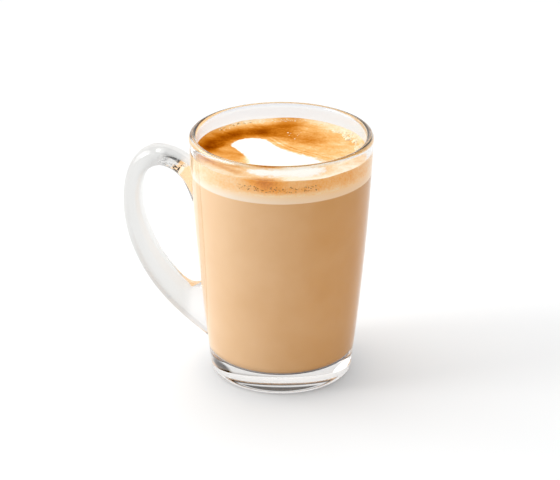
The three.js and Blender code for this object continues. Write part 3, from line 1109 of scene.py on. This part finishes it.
# An open pore is painted as a dark brown ball: painted shade for the hollow in the foam.
def open_pore():
    material, tree, output = new_material("open_pore_painted_shade")
    place = add_node(tree, "ShaderNodeTexCoord").outputs["Object"]
    mottle = add_node(tree, "ShaderNodeTexNoise", Vector=place, Scale=1 / (2.0 * MM))
    colour = add_node(
        tree, "ShaderNodeMix", {"data_type": "RGBA"}, _0=mottle.outputs[0],
        _6=linear("#5a2c08"), _7=linear("#8f5218"),
    )
    body = add_node(tree, "ShaderNodeBsdfDiffuse", Color=colour.outputs[2])
    tree.links.new(body.outputs[0], output.inputs["Surface"])
    return material


film = milky_film("bubble_film_milky", 0.85)
pore_shade = open_pore()
thin_film = milky_film("bubble_film_thin", 0.12)

# %% [markdown]
# ## Where bubbles and pores lie
#
# The froth sits at the wall at the back right, with a few large bubbles in it, and gets fine
# towards the left. Single bubbles float on the brown foam, and the pores are a loose row low
# in the foam's front, with a few at the back left.

# %% Scatter bubbles and pores
on_top = scatter_tree("scatter_on_top", False)
on_side = scatter_tree("scatter_on_side", True)
edge = float(inner_radius(CREMA_EDGE))
SCATTERED = [  # name, tree, material, count, seed, turns, reach, radii, sink
    ("froth_bubbles", on_top, film, 120, 5, (10, 58), (edge - 4.6, edge - 0.6), (0.3, 1.2), 0.6),
    ("large_bubbles", on_top, thin_film, 7, 2, (20, 50), (edge - 5.0, edge - 2.0), (1.5, 2.6), 0.72),
    ("fine_froth", on_top, film, 200, 21, (58, 152), (edge - 2.6, edge - 0.3), (0.12, 0.45), 0.6),
    ("single_bubbles", on_top, film, 7, 4, (76, 96), (10, 24), (0.25, 0.9), 0.6),
    ("side_pores", on_side, pore_shade, 130, 3, (-108, -56), (MILK_TOP + 2.0, MILK_TOP + 4.6), (0.09, 0.26), 0.3),
    ("wall_pores", on_top, pore_shade, 34, 8, (122, 150), (edge - 2.0, edge - 0.4), (0.12, 0.40), 0.6),
]
for row in SCATTERED:
    piece = scatter(*row)
    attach(piece, "root")
    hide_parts("crema")

# %% [markdown]
# ## The floor
#
# The mug stands on plain white studio paper that runs out of sight. It lies a hair below the
# underside, so that the two faces don't fight. It catches the soft shadow at the right, and
# most of what the clear foot and the handle show is this paper.

# %% Floor
FLOOR_HALF = 3.0
FLOOR_BELOW = 0.2 * MM
corners = [(x * FLOOR_HALF, y * FLOOR_HALF, -FLOOR_BELOW) for x, y in ((-1, -1), (1, -1), (1, 1), (-1, 1))]
floor = mesh_object("floor", corners, [(0, 1, 2, 3)])
material, tree, output = new_material("white_studio_paper")
shader = add_node(tree, "ShaderNodeBsdfDiffuse", Color=(0.935, 0.945, 0.95, 1))
tree.links.new(shader.outputs[0], output.inputs["Surface"])
floor.data.materials.append(material)

# %% [markdown]
# ## The surroundings
#
# Clear glass has hardly a look of its own: it shows what stands round it, mirrored and bent.
# So there are two sets of patches. One lights the drink and the paper: an even white, and
# brighter behind. The other is what the glass shows: white with a wide dark patch high behind,
# which draws the dark lines in the foot and the lip, a small dark one behind at the right,
# which shows at the left of the foot, and a bright one at the left. The camera itself sees
# plain white.

# %% Surroundings
WORLD_LEVEL = 0.72
SOFTBOXES = [  # turn, elevation, half angle, soft edge (degrees), change of radiance
    (180, 35, 40, 30, 0.76),
]
BACKDROP_LEVEL = 1.0
SEEN_LEVEL = 0.92
SEEN_PATCHES = [
    (180, 75, 46, 8, -0.80),
    (137, 29, 14, 7, -0.82),
    (-80, 45, 26, 14, 0.60),
]


def direction(turn, elevation):
    """A direction from the mug, with turn counted as for the camera."""
    return (
        math.cos(elevation) * math.sin(turn),
        -math.cos(elevation) * math.cos(turn),
        math.sin(elevation),
    )


def surroundings(tree, base, patches):
    """An even level with soft round patches that add light or take it away."""
    ray = add_node(tree, "ShaderNodeTexCoord").outputs["Generated"]
    level = base
    for turn, elevation, half, soft, change in patches:
        towards = direction(math.radians(turn), math.radians(elevation))
        facing = add_node(tree, "ShaderNodeVectorMath", {"operation": "DOT_PRODUCT"}, _0=ray, _1=towards)
        patch = add_node(
            tree, "ShaderNodeMapRange", {"interpolation_type": "SMOOTHSTEP"},
            Value=facing.outputs["Value"], To_Min=0.0, To_Max=change,
            From_Min=math.cos(math.radians(half + soft / 2)),
            From_Max=math.cos(math.radians(half - soft / 2)),
        )
        level = maths(tree, "ADD", level, patch.outputs[0])
    return level


def studio_world():
    """One level for what the camera sees directly, one for light and one for what glass shows."""
    world = bpy.data.worlds.new("studio")
    world.use_nodes = True
    tree = world.node_tree
    tree.nodes.clear()
    rays = add_node(tree, "ShaderNodeLightPath")
    in_glass = maths(tree, "MAXIMUM", rays.outputs["Is Glossy Ray"], rays.outputs["Is Transmission Ray"])
    around_mug = add_node(
        tree, "ShaderNodeMix", {"data_type": "FLOAT"}, _0=in_glass,
        _2=surroundings(tree, WORLD_LEVEL, SOFTBOXES), _3=surroundings(tree, SEEN_LEVEL, SEEN_PATCHES),
    )
    strength = add_node(
        tree, "ShaderNodeMix", {"data_type": "FLOAT"}, _0=rays.outputs["Is Camera Ray"],
        _2=around_mug.outputs[0], _3=BACKDROP_LEVEL,
    )
    background = add_node(tree, "ShaderNodeBackground", Color=(1, 1, 1, 1), Strength=strength.outputs[0])
    output = add_node(tree, "ShaderNodeOutputWorld")
    tree.links.new(background.outputs[0], output.inputs["Surface"])
    return world


scene.world = studio_world()

# %% [markdown]
# ## The light
#
# Light comes from the left, as through two wide windows: a strong one a little in front of
# the mug and a weak one a little behind it. A round softbox close by at the left makes that
# side of the drink paler. All are wide, so the shadow has soft edges.

# %% Windows and softbox
def sun(name, turn, elevation, spread, strength):
    data = bpy.data.lights.new(name, "SUN")
    data.angle = spread
    data.energy = strength
    light = bpy.data.objects.new(name, data)
    light.rotation_euler = (math.pi / 2 - elevation, 0, turn)
    scene.collection.objects.link(light)
    return light


def softbox(name, distance, turn, elevation, size, watts):
    """A round area light that faces the middle of the mug."""
    data = bpy.data.lights.new(name, "AREA")
    data.shape = "DISK"
    data.size = size
    data.energy = watts
    light = bpy.data.objects.new(name, data)
    light.location = around(
        distance * math.cos(elevation), turn, VIEW_HEIGHT + distance * math.sin(elevation)
    )
    light.rotation_euler = (math.pi / 2 - elevation, 0, turn)
    scene.collection.objects.link(light)
    return light


SUNS = [  # name, turn, elevation, spread (degrees), strength
    ("window_beside", -67, 36, 18, 0.56),
    ("window_behind", -114, 30, 26, 0.19),
]
for name, turn, elevation, spread, strength in SUNS:
    sun(name, math.radians(turn), math.radians(elevation), math.radians(spread), strength)
KEY_DISTANCE, KEY_SIZE, KEY_WATTS = 380 * MM, 300 * MM, 0.47
softbox("key", KEY_DISTANCE, math.radians(-88), math.radians(35), KEY_SIZE, KEY_WATTS)

# %% [markdown]
# ## How light is followed
#
# Light crosses many faces of glass in the handle and the foot, so it may bounce many times.
# The bright spots that glass gathers on the paper are left out, because they stay noisy.
# Colours are shown as they are, without a film's curve.

# %% View and bounces
MOST_BOUNCES = 24
scene.view_settings.view_transform = "Standard"
scene.cycles.use_denoising = True
scene.cycles.caustics_reflective = False
scene.cycles.caustics_refractive = False
scene.cycles.max_bounces = MOST_BOUNCES
scene.cycles.glossy_bounces = MOST_BOUNCES
scene.cycles.transmission_bounces = MOST_BOUNCES
scene.cycles.transparent_max_bounces = MOST_BOUNCES
